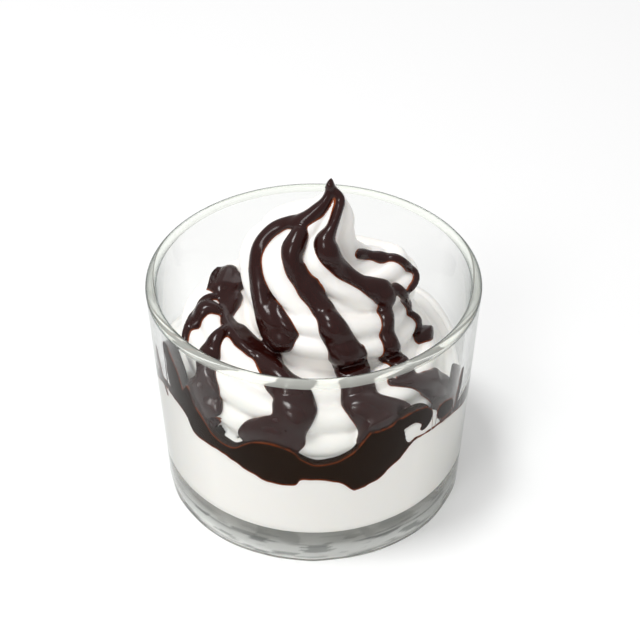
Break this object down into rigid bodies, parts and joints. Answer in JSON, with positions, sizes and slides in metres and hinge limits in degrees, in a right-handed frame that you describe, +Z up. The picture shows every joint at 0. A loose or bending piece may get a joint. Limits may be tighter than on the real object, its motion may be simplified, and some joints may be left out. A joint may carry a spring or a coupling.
{
  "type": "hot fudge sundae in a glass",
  "caption": "Soft ice cream in a clear tumbler, with a fudge layer at the wall and a fluted swirl that rises above the rim under strands of fudge.",
  "frame": {"origin": "middle of the glass's underside, on the surface that it stands on", "axes": "+Z up along the glass's axis, -Y the front that the picture shows, +X to its right"},
  "size_m": [0.086, 0.086, 0.0925],
  "materials": {
    "glass": "clear, polished, with a faint green edge",
    "ice_cream": "soft satin, slightly wet",
    "fudge": "wet gloss, thin edges orange-brown"
  },
  "bodies": {
    "root": {"glass": "glass", "ice_cream_base": "ice_cream", "fudge_layer": "fudge", "ice_cream_swirl": "ice_cream"}
  },
  "joints": []
}
